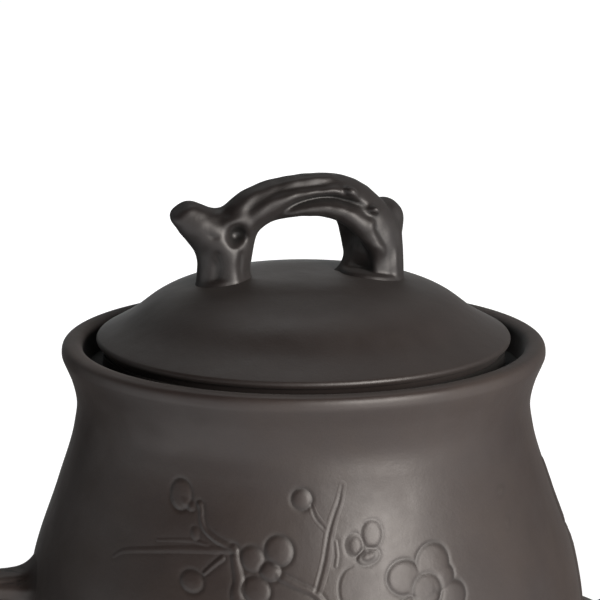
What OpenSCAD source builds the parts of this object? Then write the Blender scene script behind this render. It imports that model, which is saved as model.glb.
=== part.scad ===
// Hand-built clay teapot: a pear-shaped body with a flared mouth, a loose inset lid
// with a bridge knob shaped as a pruned branch, a branch spout, a loop handle and a
// plum-branch relief on one face. Millimetres. The origin is the centre of the foot
// on the table, +X points to the spout, -X to the handle, and -Y to the relief.

/* [Body] */
// Height of the lip above the table
pot_h = 128.2; // [120:0.1:146]
// Thickness of the thrown wall
wall_t = 3.6; // [3:0.1:4.6]
// Outer radius where the wall meets the base
base_r = 54.5; // [50:0.5:58]
// Outer radius low on the body
hip_r = 62.6; // [59:0.1:65]
// Height of the hip
hip_z = 15; // [12:0.5:20]
// Outer radius of the flank below the belly
flank_r = 68.3; // [66:0.1:70]
// Height of the flank
flank_z = 34; // [28:0.5:38]
// Outer radius of the belly, the widest place
belly_r = 71.2; // [69:0.1:76]
// Height of the belly
belly_z = 56; // [50:0.5:60]
// Outer radius of the shoulder
shoulder_r = 68.9; // [66:0.1:71]
// Height of the shoulder
shoulder_z = 72; // [68:0.5:76]
// Outer radius of the chest
chest_r = 62.4; // [60:0.1:65]
// Depth of the chest below the lip
chest_drop = 36.2; // [32:0.1:40]
// Outer radius of the throat
throat_r = 58; // [57.5:0.1:60]
// Depth of the throat below the lip
throat_drop = 21.2; // [19:0.1:25]
// Outer radius of the neck, the narrowest place
neck_r = 57.3; // [56.5:0.1:57.8]
// Depth of the neck below the lip
neck_drop = 15.2; // [13.6:0.1:16.5]

/* [Mouth] */
// Outer radius of the rolled lip
mouth_r = 61; // [60:0.1:64]
// Radius of the roll of the lip
lip_roll = 2.65; // [2:0.05:2.8]
// Depth of the lid seat below the lip
seat_drop = 7.2; // [6:0.1:8.2]
// Thickness of the seat ring
seat_t = 4; // [3:0.1:5]
// Inner radius of the seat ring
seat_r = 47.6; // [45:0.1:48.6]

/* [Base] */
// Thickness of the base disc
base_t = 4; // [3:0.1:5]
// Height of the foot ring
foot_h = 3.5; // [2.5:0.1:4.5]
// Outer radius of the foot ring
foot_r = 53; // [47:0.5:54]
// Width of the foot ring
foot_w = 6; // [4:0.5:8]

/* [Lid] */
// Outer radius of the lid
lid_r = 52; // [51:0.1:53]
// Height of the crown above the lid's underside
dome_rise = 19.1; // [17.5:0.1:23]
// Thickness of the dome
dome_t = 3.6; // [3:0.1:4.2]
// Height of the lid's edge
edge_t = 3.9; // [3.4:0.1:4.4]
// Rounding of the lid's edge
edge_round = 1.1; // [0.8:0.05:1.4]
// Outer radius of the shoulder that rests on the seat
rest_r = 50.6; // [49.8:0.1:51]
// Height of that shoulder
rest_h = 5; // [4:0.1:6]
// Wall of the collar that drops into the mouth
collar_t = 3; // [2.4:0.1:3.6]
// Depth of the collar below the seat
collar_depth = 11; // [8:0.5:14]
// Gap all round between collar and seat ring
collar_clear = 0.6; // [0.4:0.1:1]
// Bore of the steam vent in the dome
vent_d = 2.6; // [2:0.1:3.5]

/* [Knob] */
// Distance from the lid's axis to the middle of the left leg
left_leg_x = 20; // [19:0.1:21]
// Distance from the lid's axis to the middle of the right leg
right_leg_x = 17.4; // [16.6:0.1:18.4]
// Height of the middle of the arch above the lid's crown
arch_rise = 20; // [18:0.1:22]
// Half thickness of the branch at the middle of the arch
branch_r = 5.1; // [4.6:0.1:5.6]
// Half thickness of the second strand at the middle of the arch
strand_r = 2.4; // [2.1:0.1:2.7]
// Length of the pruned stub on the left
stub_len = 15; // [12:0.5:17]
// Width that the slip at a leg's foot stands out
slip_w = 1.4; // [1:0.1:2]

/* [Handle] */
// Height of the upper arm where it meets the wall
arm_z = 67; // [64:0.5:69]
// Height of the lower root on the wall
heel_z = 22; // [19:0.5:25]
// Distance from the pot's axis to the outside of the loop
handle_reach = 114; // [108:0.5:118]
// Thickness of the upper arm, seen from the side
arm_t = 7.7; // [7:0.1:9]
// Width of the upper arm
arm_w = 13; // [11:0.5:15]

/* [Spout] */
// Height of the middle of the spout's root
root_z = 41; // [38:0.5:44]
// Half thickness of the spout just outside the wall
root_r = 15; // [13.5:0.1:16.5]
// Half thickness at the spout's mouth
tip_r = 5.2; // [4.9:0.1:6]
// Wall of the spout at its mouth
spout_t = 1.9; // [1.6:0.1:2.1]
// Distance from the pot's axis to the outside of the spout's mouth
spout_reach = 114; // [110:0.5:120]
// Height of the middle of the spout's mouth
tip_z = 120; // [114:0.5:126]
// Radius of the opening in the wall behind the spout
port_r = 9; // [8:0.1:9.6]
// Outer radius of the domed strainer
strainer_r = 13.5; // [12.5:0.1:15]
// Thickness of the strainer
strainer_t = 2; // [1.6:0.1:2.4]
// Bore of the holes in the strainer
strainer_d = 2.4; // [1.8:0.1:2.6]

/* [Relief] */
// Height of the line that the relief is drawn around
relief_z = 85; // [82:0.5:88]
// Height of the whole relief, from the foot of the bough to the tip of the upright twig
relief_h = 58; // [54:0.5:62]
// Height that petals stand proud of the wall
petal_h = 0.9; // [0.6:0.05:1.2]
// Height that twigs stand proud of the wall
twig_h = 0.7; // [0.5:0.05:0.9]
// Radius of the thick part of the relief branch
bough_r = 2.2; // [1.8:0.1:2.8]
// Radius of the thin twigs
twig_r = 1.2; // [1:0.05:1.5]

/* [Hidden] */
$fn = 96;
clay = "#463c39";
knob_clay = "#3a3230";
relief_clay = "#5a4d48";
inner_clay = "#6b5c55";

// Heights that follow from the driving sizes
lip_z = pot_h - lip_roll;
seat_z = pot_h - seat_drop;
joint_z = seat_z - seat_t;
floor_z = foot_h + base_t;
lid_z = seat_z + rest_h;
crown_z = lid_z + dome_rise;
lip_mid_r = mouth_r - lip_roll;

// Where the outside of the wall turns into the roll of the lip
lip_turn = -40;
lip_start = [lip_z + lip_roll * sin(lip_turn), lip_mid_r + lip_roll * cos(lip_turn)];
// How far the wall has begun to flare between the neck and the lip
flare_up = 6;
flare_out = 0.35;
wall_steps = 30;
lip_steps = 4;
roll_step = 20;

// Outline of the wall as [height, outer radius], from the base to the lip
WALL = [
    [foot_h, base_r], [hip_z, hip_r], [flank_z, flank_r], [belly_z, belly_r],
    [shoulder_z, shoulder_r], [pot_h - chest_drop, chest_r], [pot_h - throat_drop, throat_r],
    [pot_h - neck_drop, neck_r],
    [pot_h - neck_drop + flare_up, mix(neck_r, lip_start[1], flare_out)],
    lip_start,
];

// Outline of the dome as [radius, height above the underside], from the crown to the edge
edge_turn = 60;
edge_mid = [lid_r - edge_round, edge_t - edge_round];
DOME = [
    [0, dome_rise], [20, dome_rise - 1], [38, dome_rise - 6.5], [44, dome_rise - 11],
    edge_mid + edge_round * [cos(edge_turn), sin(edge_turn)],
];
collar_r = seat_r - collar_clear;
collar_in = collar_r - collar_t;

// Curve tools

function mix(a, b, t) = a + (b - a) * t;
function unit(v) = v / norm(v);

// Slope at knot i of the smooth curve through the knots k
function knot_slope(k, i) =
    let (last = len(k) - 1,
         a = i == 0 ? 0 : (k[i][1] - k[i - 1][1]) / (k[i][0] - k[i - 1][0]),
         b = i == last ? 0 : (k[i + 1][1] - k[i][1]) / (k[i + 1][0] - k[i][0]))
    i == 0 ? b : i == last ? a :
    let (h0 = k[i][0] - k[i - 1][0], h1 = k[i + 1][0] - k[i][0])
    (a * h1 + b * h0) / (h0 + h1);

// Value at x of the smooth curve through the knots k
function curve_at(k, x) =
    let (i = max([0, for (j = [0:len(k) - 2]) if (x >= k[j][0]) j]),
         h = k[i + 1][0] - k[i][0],
         t = min(1, max(0, (x - k[i][0]) / h)),
         m0 = knot_slope(k, i) * h,
         m1 = knot_slope(k, i + 1) * h)
    (2 * t ^ 3 - 3 * t ^ 2 + 1) * k[i][1] + (t ^ 3 - 2 * t ^ 2 + t) * m0
    + (3 * t ^ 2 - 2 * t ^ 3) * k[i + 1][1] + (t ^ 3 - t ^ 2) * m1;

function wall_at(z) = curve_at(WALL, z);
function dome_at(r) = lid_z + curve_at(DOME, r);

// Point u along the smooth route through the stations s, which may hold sizes as well
function route_at(s, u) =
    let (last = len(s) - 1,
         i = min(last - 1, floor(u)),
         t = u - i,
         p0 = s[max(0, i - 1)], p1 = s[i], p2 = s[i + 1], p3 = s[min(last, i + 2)])
    0.5 * (2 * p1 + (p2 - p0) * t + (2 * p0 - 5 * p1 + 4 * p2 - p3) * t ^ 2
           + (3 * p1 - p0 - 3 * p2 + p3) * t ^ 3);

// The route through the stations s, in n equal steps
function route(s, n) = [for (i = [0:n]) route_at(s, i * (len(s) - 1) / n)];

function spot(s) = [s[0], s[1], s[2]];

function heading(p, i) = unit(spot(p[min(len(p) - 1, i + 1)]) - spot(p[max(0, i - 1)]));

// One ring of the sweep: the station holds [x, y, z, half thickness, half width].
// The half width lies along side, the half thickness square to it and to the route.
function ring(p, i, side, n, gnarl) =
    let (t = heading(p, i), s = unit(side - t * (side * t)), u = cross(t, s))
    [for (k = [0:n - 1])
        let (q = 360 * k / n, g = 1 + gnarl * sin(3 * q + 40 * i))
        spot(p[i]) + s * (p[i][4] * g * cos(q)) + u * (p[i][3] * g * sin(q))];

// A closed tube along the stations p
module sweep(p, n, side = [0, 1, 0], gnarl = 0) {
    last = len(p) - 1;
    rings = [for (i = [0:last]) each ring(p, i, side, n, gnarl)];
    skin = [for (i = [0:last - 1], k = [0:n - 1])
        let (a = i * n + k, b = i * n + (k + 1) % n)
        each [[a, a + n, b], [b, a + n, b + n]]];
    start_cap = [for (k = [1:n - 2]) [0, k, k + 1]];
    end_cap = [for (k = [1:n - 2]) [last * n, last * n + k + 1, last * n + k]];
    polyhedron(rings, concat(skin, start_cap, end_cap));
}

// Body

function wall_heights(z0, z1, n) = [for (i = [0:n]) mix(z0, z1, i / n)];
function wall_outside(z0, z1, n) = [for (z = wall_heights(z0, z1, n)) [wall_at(z), z]];
function wall_inside(z0, z1, n) = [for (z = wall_heights(z0, z1, n)) [wall_at(z) - wall_t, z]];

// The body as a solid block, from the underside of the base to the joint of the mouth
module body_block() {
    rotate_extrude($fn = 360)
        polygon(concat([[0, foot_h]], [[base_r, foot_h]],
                       wall_outside(floor_z, joint_z, wall_steps), [[0, joint_z]]));
}

// The hollow inside the wall
module body_hollow() {
    rotate_extrude()
        polygon(concat([[0, floor_z]], wall_inside(floor_z, joint_z, wall_steps),
                       [[0, joint_z]]));
}

module pot_wall() {
    color(clay)
        difference() {
            rotate_extrude()
                polygon(concat(wall_outside(floor_z, joint_z, wall_steps),
                               wall_inside(joint_z, floor_z, wall_steps)));
            translate([0, 0, root_z])
                rotate([0, 90, 0])
                    cylinder(r = port_r, h = belly_r + wall_t);
        }
}

module base_disc() {
    color(clay)
        rotate_extrude()
            polygon([[0, foot_h], [base_r, foot_h], [wall_at(floor_z), floor_z], [0, floor_z]]);
}

module foot_ring() {
    bevel = 0.8;
    color(clay)
        rotate_extrude()
            polygon([[foot_r - foot_w, foot_h], [foot_r - foot_w, bevel],
                     [foot_r - foot_w + bevel, 0], [foot_r - bevel, 0],
                     [foot_r, bevel], [foot_r, foot_h]]);
}

// The flared mouth with its rolled lip
module mouth_ring() {
    roll = [for (a = [lip_turn:roll_step:180]) [lip_mid_r, lip_z] + lip_roll * [cos(a), sin(a)]];
    color(clay)
        rotate_extrude()
            polygon(concat(wall_outside(joint_z, lip_start[0] - 0.4, lip_steps), roll,
                           [[lip_mid_r - lip_roll, lip_z],
                            [mouth_inside(seat_z), seat_z],
                            [wall_at(joint_z) - wall_t, joint_z]]));
}

// Inner radius of the mouth between the joint and the roll of the lip
function mouth_inside(z) =
    mix(wall_at(joint_z) - wall_t, lip_mid_r - lip_roll, (z - joint_z) / (lip_z - joint_z));

// The ledge inside the mouth that carries the lid
module seat_ring() {
    bevel = 2.4;
    color(clay)
        rotate_extrude()
            polygon([[mouth_inside(seat_z), seat_z], [seat_r, seat_z],
                     [seat_r, seat_z - seat_t + bevel], [seat_r + bevel, joint_z],
                     [mouth_inside(joint_z), joint_z]]);
}

// Spout

tip_out = tip_r * 0.9;
// Route of the spout as [x, y, z, half thickness, half width]. It starts inside the wall.
SPOUT = [
    [wall_at(root_z) - 14, 0, root_z - 4, root_r + 5, root_r + 4],
    [wall_at(root_z) - 3, 0, root_z - 1, root_r + 3, root_r + 2],
    [wall_at(root_z) + 8, 0, root_z + 3.5, root_r - 2, root_r - 1.5],
    [mix(wall_at(root_z), spout_reach, 0.46), 0, root_z + 13, 9.8, 10],
    [mix(wall_at(root_z), spout_reach, 0.66), 0, mix(root_z, tip_z, 0.38), 7.9, 8.1],
    [mix(wall_at(root_z), spout_reach, 0.78), 0, mix(root_z, tip_z, 0.6), 6.9, 7],
    [mix(wall_at(root_z), spout_reach, 0.85), 0, mix(root_z, tip_z, 0.82), 6, 6.1],
    [spout_reach - tip_out, 0, tip_z, tip_r, tip_r],
];
spout_rings = 28;
spout_sides = 24;
bore_sides = 20;
bore_taper = 2.4;

// The way that the tea takes, open at both ends
function spout_bore() =
    let (r = route(SPOUT, spout_rings))
    concat(
        [for (i = [0:spout_rings])
            let (s = r[i], w = mix(spout_t + bore_taper, spout_t, i / spout_rings),
                 most = port_r)
            [s[0], s[1], s[2], min(most, s[3] - w), min(most, s[4] - w)]],
        [let (s = r[spout_rings], t = heading(r, spout_rings))
            [s[0] + 3 * t[0], 0, s[2] + 3 * t[2], s[3] - spout_t, s[4] - spout_t]]);

module spout() {
    color(clay)
        difference() {
            sweep(route(SPOUT, spout_rings), spout_sides, gnarl = 0.02);
            sweep(spout_bore(), bore_sides);
            body_block();
        }
}

// A pruned side shoot on the spout's outer bend
module spout_stub() {
    base = route_at(SPOUT, 3.4);
    lean = [0.78, -0.4, 0.48];
    start = spot(base);
    len_out = base[3] + 6;
    points = [for (f = [0.35, 0.7, 0.9, 1])
        let (c = start + lean * (len_out * f), w = f < 1 ? mix(4.6, 2.9, f) : 2)
        [c[0], c[1], c[2], w, w]];
    color(clay)
        difference() {
            sweep(route(points, 8), 12, side = [0, 0.77, 0.64]);
            sweep(route(SPOUT, spout_rings), spout_sides, gnarl = 0.02);
        }
}

// Domed strainer over the opening, inside the wall
module spout_strainer() {
    rows = [[0, 1], [27, 6], [52, 10]];
    middle = [wall_at(root_z) - wall_t, 0, root_z];
    color(inner_clay)
        difference() {
            intersection() {
                translate(middle)
                    difference() {
                        sphere(r = strainer_r);
                        sphere(r = strainer_r - strainer_t);
                    }
                body_hollow();
            }
            for (row = rows, k = [0:row[1] - 1])
                translate(middle)
                    rotate([360 * k / row[1], 0, 0])
                        rotate([0, -90 + row[0], 0])
                            translate([0, 0, strainer_r / 2])
                                cylinder(d = strainer_d, h = strainer_r, $fn = 24);
        }
}

// Handle

loop_t = 6.6;
loop_w = 11;
loop_top = arm_t / 2;
// Route of the handle as [x, y, z, half thickness, half width]. Both ends lie in the wall.
HANDLE = [
    [-wall_at(arm_z) + 4, 0, arm_z, loop_top + 2, arm_w / 2 + 2.4],
    [-wall_at(arm_z) - 2, 0, arm_z, loop_top + 1, arm_w / 2 + 1],
    [-wall_at(arm_z) - 10, 0, arm_z + 0.2, loop_top, arm_w / 2],
    [-mix(wall_at(arm_z), handle_reach, 0.52), 0, arm_z - 0.8, loop_top, arm_w / 2],
    [-mix(wall_at(arm_z), handle_reach, 0.83), 0, arm_z - 8.5, loop_t / 2 + 0.2, loop_w / 2 + 0.5],
    [-handle_reach + loop_t / 2, 0, mix(heel_z, arm_z, 0.56), loop_t / 2, loop_w / 2],
    [-mix(wall_at(heel_z), handle_reach, 0.75), 0, mix(heel_z, arm_z, 0.26), loop_t / 2, loop_w / 2],
    [-mix(wall_at(heel_z), handle_reach, 0.4), 0, heel_z + 3.6, loop_t / 2, loop_w / 2],
    [-wall_at(heel_z) - 4, 0, heel_z + 0.6, loop_t / 2 + 0.6, loop_w / 2 + 0.5],
    [-wall_at(heel_z) + 3, 0, heel_z, loop_t / 2 + 2, loop_w / 2 + 2],
];

module handle() {
    color(clay)
        difference() {
            sweep(route(HANDLE, 45), 20);
            body_block();
        }
}

// Relief. Places on the wall are [angle, up]: the angle is in degrees from the middle
// of the relief's face, positive towards the spout, and up is in steps above relief_z.
// The whole relief is 58 steps high.

function on_wall(a, z, lift = 0) =
    let (r = wall_at(z) + lift) [r * sin(a), -r * cos(a), z];

function wall_tilt(z) = atan((wall_at(z - 1) - wall_at(z + 1)) / 2);

relief_unit = relief_h / 58;

function drawn_z(up) = relief_z + up * relief_unit;

// A low round swelling of radius r at [angle, up], as the cap of a ball. The turn about
// the ball's own axis keeps the seams of neighbouring balls apart.
module swelling(place, r, h) {
    z = drawn_z(place[1]);
    ball = (r * r + h * h) / (2 * h);
    translate(on_wall(place[0], z))
        rotate([0, 0, place[0]])
            rotate([90 - wall_tilt(z), 0, 0])
                translate([0, 0, h - ball])
                    rotate([0, 0, 37])
                        sphere(r = ball, $fn = 180);
}

// The place that lies [across, up] steps from the heart, measured along the wall
function petal_place(heart, step) =
    let (up = heart[1] + step[1] * cos(wall_tilt(drawn_z(heart[1]))))
    [heart[0] + step[0] * relief_unit / wall_at(drawn_z(up)) * 180 / PI, up];

// A raised heart at [angle, up] with petals round it, each [across, up, radius] in steps
module blossom_form(heart, heart_r, petals) {
    for (p = petals)
        swelling(petal_place(heart, p), p[2] * relief_unit, petal_h);
    swelling(heart, heart_r * relief_unit, petal_h + 0.25);
}

module left_form() {
    blossom_form([-14.6, 1.2], 4.6, [[-5.1, 3.3, 3.1], [1, 5.3, 3.9], [-3.5, -4, 3.6]]);
}

module middle_form() {
    blossom_form([5.2, 7.4], 3, [[2.5, 2.3, 2.4], [0.6, -4.6, 3.6], [-2.1, -10.5, 5.3]]);
}

module right_form() {
    blossom_form([18.6, -3.6], 5.6,
                 [[2.4, 6.3, 4.6], [-6.4, 2.7, 3.9], [7.8, -1.1, 3.9], [-4.7, -5, 3.5],
                  [4.5, -6.3, 3.8]]);
}

// A twig along the places p, each [angle, up, radius], standing h proud of the wall
module twig(p, h, n) {
    steps = n * (len(p) - 1);
    line = [for (s = route(p, steps))
        let (c = on_wall(s[0], drawn_z(s[1]), h - s[2])) [c[0], c[1], c[2], s[2], s[2]]];
    sweep(line, 10, side = on_wall(line_angle(p), 0));
}

function line_angle(p) = p[floor(len(p) / 2)][0];

module bough_form() {
    twig([[30, -37, bough_r * 0.7], [16, -30, bough_r], [3, -23, bough_r * 1.1],
          [-8, -17, bough_r], [-17, -10.5, bough_r * 0.9], [-21.4, -5, bough_r * 0.8],
          [-21.6, -1, bough_r * 0.7], [-23.4, 6.4, bough_r * 0.6]], twig_h + 0.2, 5);
}

module twig_forms() {
    lines = [
        [[-26, 7, twig_r], [-34, 5.6, twig_r], [-43, 4, twig_r], [-53, 0, twig_r * 0.9]],
        [[-24, 8.6, twig_r], [-29, 9.2, twig_r], [-31.5, 13, twig_r], [-33, 15, twig_r * 0.9]],
        [[-5.4, -2.4, twig_r], [-3.9, 4, twig_r], [-2.4, 11, twig_r], [0.8, 21, twig_r * 0.9]],
        [[-13, 0.6, twig_r], [-5.6, -3.2, twig_r], [-3.4, -7, twig_r], [-6, -16, twig_r]],
        [[9, -25.5, twig_r], [13, -18, twig_r], [15, -12, twig_r], [16.5, -9, twig_r * 0.9]],
    ];
    for (line = lines)
        twig(line, twig_h, 5);
}

module relief_bough() {
    color(relief_clay)
        difference() {
            bough_form();
            body_block();
            left_form();
        }
}

module relief_twigs() {
    color(relief_clay)
        difference() {
            twig_forms();
            body_block();
            bough_form();
            left_form();
            right_form();
        }
}

module blossom_left() {
    color(relief_clay)
        difference() {
            left_form();
            body_block();
        }
}

module blossom_middle() {
    color(relief_clay)
        difference() {
            middle_form();
            body_block();
        }
}

module blossom_right() {
    color(relief_clay)
        difference() {
            right_form();
            body_block();
        }
}

module leaf_bud() {
    heart = [-37.4, 16.4];
    petals = [[-1.3, 2.2, 2.8], [0, 0, 3], [1.9, -1.4, 2.2]];
    color(relief_clay)
        difference() {
            for (p = petals)
                swelling(petal_place(heart, p), p[2] * relief_unit, petal_h);
            body_block();
            twig_forms();
        }
}

// Three round buds: on the left twig, below it, and beside the upright twig
module round_buds() {
    buds = [[-34.4, 9.6, 1.7], [-31.8, -1.4, 2.7], [-8.8, 18, 2.4]];
    color(relief_clay)
        difference() {
            for (b = buds)
                swelling(b, b[2] * relief_unit, petal_h);
            body_block();
            twig_forms();
        }
}

// Lid

dome_steps = 22;

function dome_outside() =
    concat([for (i = [0:dome_steps])
                let (r = DOME[4][0] * i / dome_steps) [r, dome_at(r)]],
           [for (a = [edge_turn - 30, 0]) [0, lid_z] + edge_mid + edge_round * [cos(a), sin(a)]]);

// The lid as a solid block
module lid_block() {
    rotate_extrude()
        polygon(concat(dome_outside(), [[lid_r, lid_z], [0, lid_z]]));
}

// Place of the steam vent, behind the right leg
vent_x = right_leg_x - 1;
vent_y = 17;

module lid_dome() {
    under_bevel = 0.8;
    hollow_top = 38;
    inside = [for (i = [dome_steps:-1:0])
        let (r = hollow_top * i / dome_steps) [r, dome_at(r) - dome_t]];
    color(clay)
        difference() {
            rotate_extrude()
                polygon(concat(dome_outside(),
                               [[lid_r, lid_z + under_bevel], [lid_r - under_bevel, lid_z],
                                [collar_in, lid_z], [collar_in, lid_z + under_bevel]],
                               inside));
            translate([vent_x, vent_y, lid_z])
                cylinder(d = vent_d, h = dome_rise + 1, $fn = 32);
        }
}

// The shoulder that rests on the seat and the collar that centres the lid
module lid_collar() {
    bevel = 0.8;
    low = seat_z - collar_depth;
    color(clay)
        rotate_extrude()
            polygon([[collar_in, low], [collar_r - bevel, low], [collar_r, low + bevel],
                     [collar_r, seat_z], [rest_r, seat_z], [rest_r, lid_z], [collar_in, lid_z]]);
}

// Knob, shaped as a bent, pruned branch

arch_z = crown_z + arch_rise;
left_root_z = dome_at(left_leg_x);
right_root_z = dome_at(right_leg_x);
branch_rings = 40;
branch_sides = 18;
branch_gnarl = 0.03;

// Route of the branch as [x, y, z, half thickness, half width], from left foot to right
BRANCH = [
    [-left_leg_x, 0, left_root_z - 2, 6.9, 6.6],
    [-left_leg_x - 0.2, 0, left_root_z + 4, 6.3, 6],
    [-left_leg_x, 0, left_root_z + 8.6, 6, 5.8],
    [-left_leg_x + 2.3, 0, left_root_z + 12.8, 5.6, 5.6],
    [-left_leg_x + 6.3, 0, arch_z - 4, 5.2, 5.6],
    [-left_leg_x + 12, 0.3, arch_z - 1.5, branch_r, 5.6],
    [-0.4, 0.5, arch_z - 0.3, branch_r, 5.6],
    [right_leg_x - 10.3, 0.5, arch_z, branch_r, 5.8],
    [right_leg_x - 4.6, 0.6, arch_z - 2, 5.6, 6],
    [right_leg_x - 1, 0.8, right_root_z + 14.4, 6.2, 6.4],
    [right_leg_x + 0.6, 1, right_root_z + 9.4, 6.6, 6.8],
    [right_leg_x + 0.7, 1, right_root_z + 4, 7, 7],
    [right_leg_x + 0.6, 1, right_root_z - 2, 7.4, 7.4],
];

module branch_form() {
    sweep(route(BRANCH, branch_rings), branch_sides, gnarl = branch_gnarl);
}

module knob_branch() {
    color(knob_clay)
        difference() {
            branch_form();
            lid_block();
        }
}

// The second strand, which leaves the underside of the arch and joins the right leg
module strand_form() {
    line = [
        [-9.4, -1.8, arch_z - 4.6, 0.9, 1.2],
        [-3.4, -2.4, arch_z - 4.6, strand_r * 0.8, strand_r],
        [2.8, -2.6, arch_z - 4.5, strand_r, strand_r * 1.2],
        [right_leg_x - 8.8, -3, arch_z - 6.2, strand_r * 1.1, strand_r * 1.3],
        [right_leg_x - 5.2, -3.4, arch_z - 10, strand_r * 1.2, strand_r * 1.4],
        [right_leg_x - 4, -3.6, right_root_z + 6.4, strand_r * 1.4, strand_r * 1.4],
        [right_leg_x - 3.4, -3.6, right_root_z - 2, strand_r * 1.6, strand_r * 1.5],
    ];
    sweep(route(line, 24), 12);
}

module knob_strand() {
    color(knob_clay)
        difference() {
            strand_form();
            branch_form();
            lid_block();
        }
}

// A pruned stub from start to end, blunt at the end
module stub(start, end, r0, r1, side) {
    tips = [[0, r0 * 0.6], [0.2, r0 * 0.9], [0.5, mix(r0, r1, 0.6)], [0.8, r1],
            [0.94, r1 * 0.9], [1, r1 * 0.55]];
    points = [for (t = tips) let (c = mix(start, end, t[0])) [c[0], c[1], c[2], t[1], t[1]]];
    difference() {
        sweep(route(points, 12), 14, side = side);
        branch_form();
    }
}

module knob_left_stub() {
    from = [-left_leg_x + 1.5, -0.6, left_root_z + 11.4];
    way = [cos(152), 0, sin(152)];
    color(knob_clay)
        stub(from, from + way * stub_len, 5, 3.1, [0, 1, 0]);
}

module knob_right_stub() {
    from = [right_leg_x + 0.4, 2, right_root_z + 10.6];
    color(knob_clay)
        stub(from, from + [6.2, 4.6, 5.4], 5.2, 3.4, [0.6, -0.8, 0]);
}

// The raised ring round the knot hole in the crook of the left leg
module knob_knot() {
    ring_r = 1.9;
    wire_r = 0.9;
    color(knob_clay)
        difference() {
            translate([-left_leg_x + 2.6, -5.9, left_root_z + 10.6])
                rotate([82, 0, 12])
                    rotate_extrude()
                        translate([ring_r, 0])
                            circle(r = wire_r, $fn = 24);
            branch_form();
        }
}

// The slip that seals a leg to the lid
module slip(x, y, r, z) {
    sink = 2;
    lift = 1.6;
    hole = r - 3;
    color(knob_clay)
        difference() {
            translate([x, y, z])
                rotate_extrude()
                    polygon([[hole, -sink], [r + slip_w, -sink], [r + slip_w, lift / 8],
                             [r + slip_w * 0.6, lift * 0.7], [r - 0.4, lift], [hole, lift]]);
            branch_form();
            lid_block();
        }
}

module knob_left_foot() {
    slip(-left_leg_x, 0, 6.7, left_root_z);
}

module knob_right_foot() {
    difference() {
        slip(right_leg_x + 0.6, 1, 7.3, right_root_z);
        strand_form();
    }
}

pot_wall();
base_disc();
foot_ring();
mouth_ring();
seat_ring();
spout();
spout_stub();
spout_strainer();
handle();
relief_bough();
relief_twigs();
blossom_left();
blossom_middle();
blossom_right();
leaf_bud();
round_buds();
lid_collar();
lid_dome();
knob_branch();
knob_strand();
knob_left_stub();
knob_right_stub();
knob_knot();
knob_left_foot();
knob_right_foot();
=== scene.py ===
import math

import bmesh
import bpy
import numpy as np
import openvdb
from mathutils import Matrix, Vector


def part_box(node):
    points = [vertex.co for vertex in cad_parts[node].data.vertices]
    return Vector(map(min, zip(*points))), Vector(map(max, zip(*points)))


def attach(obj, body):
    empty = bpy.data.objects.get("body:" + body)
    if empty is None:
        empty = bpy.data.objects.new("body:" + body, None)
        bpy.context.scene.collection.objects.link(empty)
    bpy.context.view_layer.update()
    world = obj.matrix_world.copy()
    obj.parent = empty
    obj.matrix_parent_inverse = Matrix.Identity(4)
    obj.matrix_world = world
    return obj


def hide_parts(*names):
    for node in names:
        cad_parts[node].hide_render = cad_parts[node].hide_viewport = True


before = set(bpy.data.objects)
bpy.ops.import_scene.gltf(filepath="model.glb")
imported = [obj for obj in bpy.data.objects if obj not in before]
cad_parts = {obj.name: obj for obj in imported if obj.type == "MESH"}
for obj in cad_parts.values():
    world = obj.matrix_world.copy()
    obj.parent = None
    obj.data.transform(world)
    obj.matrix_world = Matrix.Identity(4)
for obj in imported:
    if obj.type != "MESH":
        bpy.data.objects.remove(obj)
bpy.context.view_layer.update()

# The turned wall. The real one is thrown in dark clay, scraped to a pear shape and burnished
# while it is leather hard. The plum relief is drawn into it, so its creases are cut in here.
MM = 0.001
WALL_THICK = 3.6 * MM
JOINT_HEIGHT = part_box("pot_wall")[1].z
FLOOR_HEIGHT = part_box("pot_wall")[0].z
FOOT_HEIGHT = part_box("foot_ring")[1].z
LIP_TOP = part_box("mouth_ring")[1].z
LIP_ROLL = 2.65 * MM
LIP_CENTRE = (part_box("mouth_ring")[1].x - LIP_ROLL, LIP_TOP - LIP_ROLL)
# The lip's roll starts at this angle in degrees, in line with the neck's flare
LIP_FROM = -24
LIP_START = (
    LIP_CENTRE[0] + LIP_ROLL * math.cos(math.radians(LIP_FROM)),
    LIP_CENTRE[1] + LIP_ROLL * math.sin(math.radians(LIP_FROM)),
)
NECK = (57.3 * MM, LIP_TOP - 15.2 * MM)
FLARE = (NECK[0] + 0.35 * (LIP_START[0] - NECK[0]), NECK[1] + 6 * MM)
# Outside of the wall as (radius, height), from the base to the lip
OUTLINE = [
    (54.5 * MM, FOOT_HEIGHT),
    (62.6 * MM, 15 * MM),
    (68.3 * MM, 34 * MM),
    (71.2 * MM, 56 * MM),
    (68.9 * MM, 72 * MM),
    (62.4 * MM, LIP_TOP - 36.2 * MM),
    (58.0 * MM, LIP_TOP - 21.2 * MM),
    NECK,
    FLARE,
    LIP_START,
]
# Columns of the wall's mesh, in degrees from the relief's face towards the spout: fine across
# the relief, coarser beside it and behind
RELIEF_EDGES = (-60.0, 40.0)
RELIEF_BAND = (44 * MM, 111 * MM)
SPOUT_TURN = 88
FINE_TURN = 0.25
SIDE_TURN = 0.75
BACK_TURN = 1.6
FINE_RISE = 0.28 * MM
TURNS = np.concatenate([
    np.arange(RELIEF_EDGES[0], RELIEF_EDGES[1], FINE_TURN),
    np.arange(RELIEF_EDGES[1], SPOUT_TURN, SIDE_TURN),
    np.arange(SPOUT_TURN, 360 + RELIEF_EDGES[0], BACK_TURN),
])
WOBBLE = 0.06 * MM


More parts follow.
